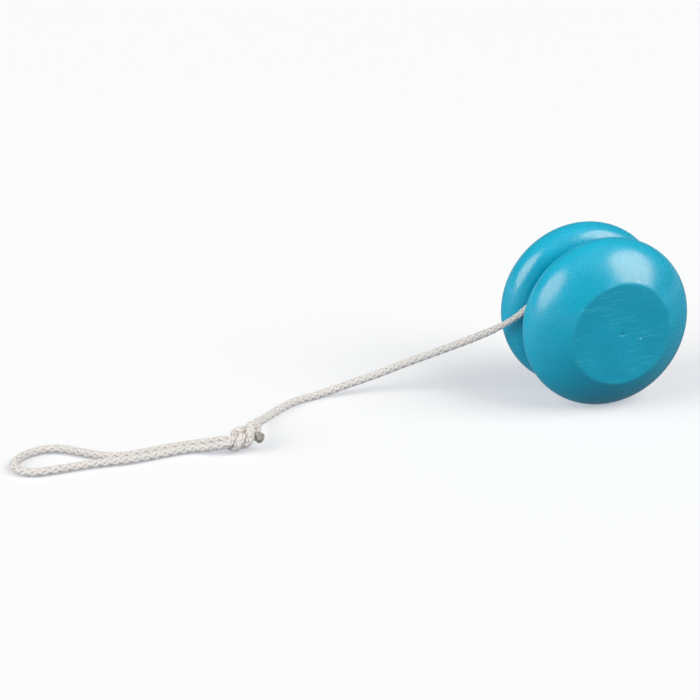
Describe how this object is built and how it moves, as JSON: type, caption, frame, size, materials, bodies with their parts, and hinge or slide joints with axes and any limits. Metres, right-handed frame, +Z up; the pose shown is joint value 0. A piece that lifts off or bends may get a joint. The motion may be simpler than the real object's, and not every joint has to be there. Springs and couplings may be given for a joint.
{
  "type": "yo-yo",
  "caption": "Turned wooden yo-yo with rounded painted halves, a string groove, and a braided cord led out to a knotted finger loop.",
  "frame": {"origin": "on the surface the yo-yo stands on, under the centre of the two halves", "axes": "+Z up, +Y along the axle from the front half to the rear half, -X the way the cord is led out"},
  "size_m": [0.2015, 0.04, 0.052],
  "materials": {
    "painted_halves": "satin turquoise-blue paint on turned hardwood, faint grain showing through",
    "axle_wood": "bare turned dowel",
    "cord_cotton": "undyed braided cotton cord, matt"
  },
  "bodies": {
    "string": {"cord_winding": "cord_cotton", "cord_run": "cord_cotton", "cord_knot": "cord_cotton", "finger_loop": "cord_cotton", "cord_tail": "cord_cotton"},
    "spool": {"front_half": "painted_halves", "rear_half": "painted_halves", "axle_dowel": "axle_wood"}
  },
  "joints": [
    {"name": "spool_spin", "type": "hinge", "parent": "string", "child": "spool", "pos_m": [0, 0, 0.026], "axis": [0, 1, 0], "continuous": true}
  ]
}
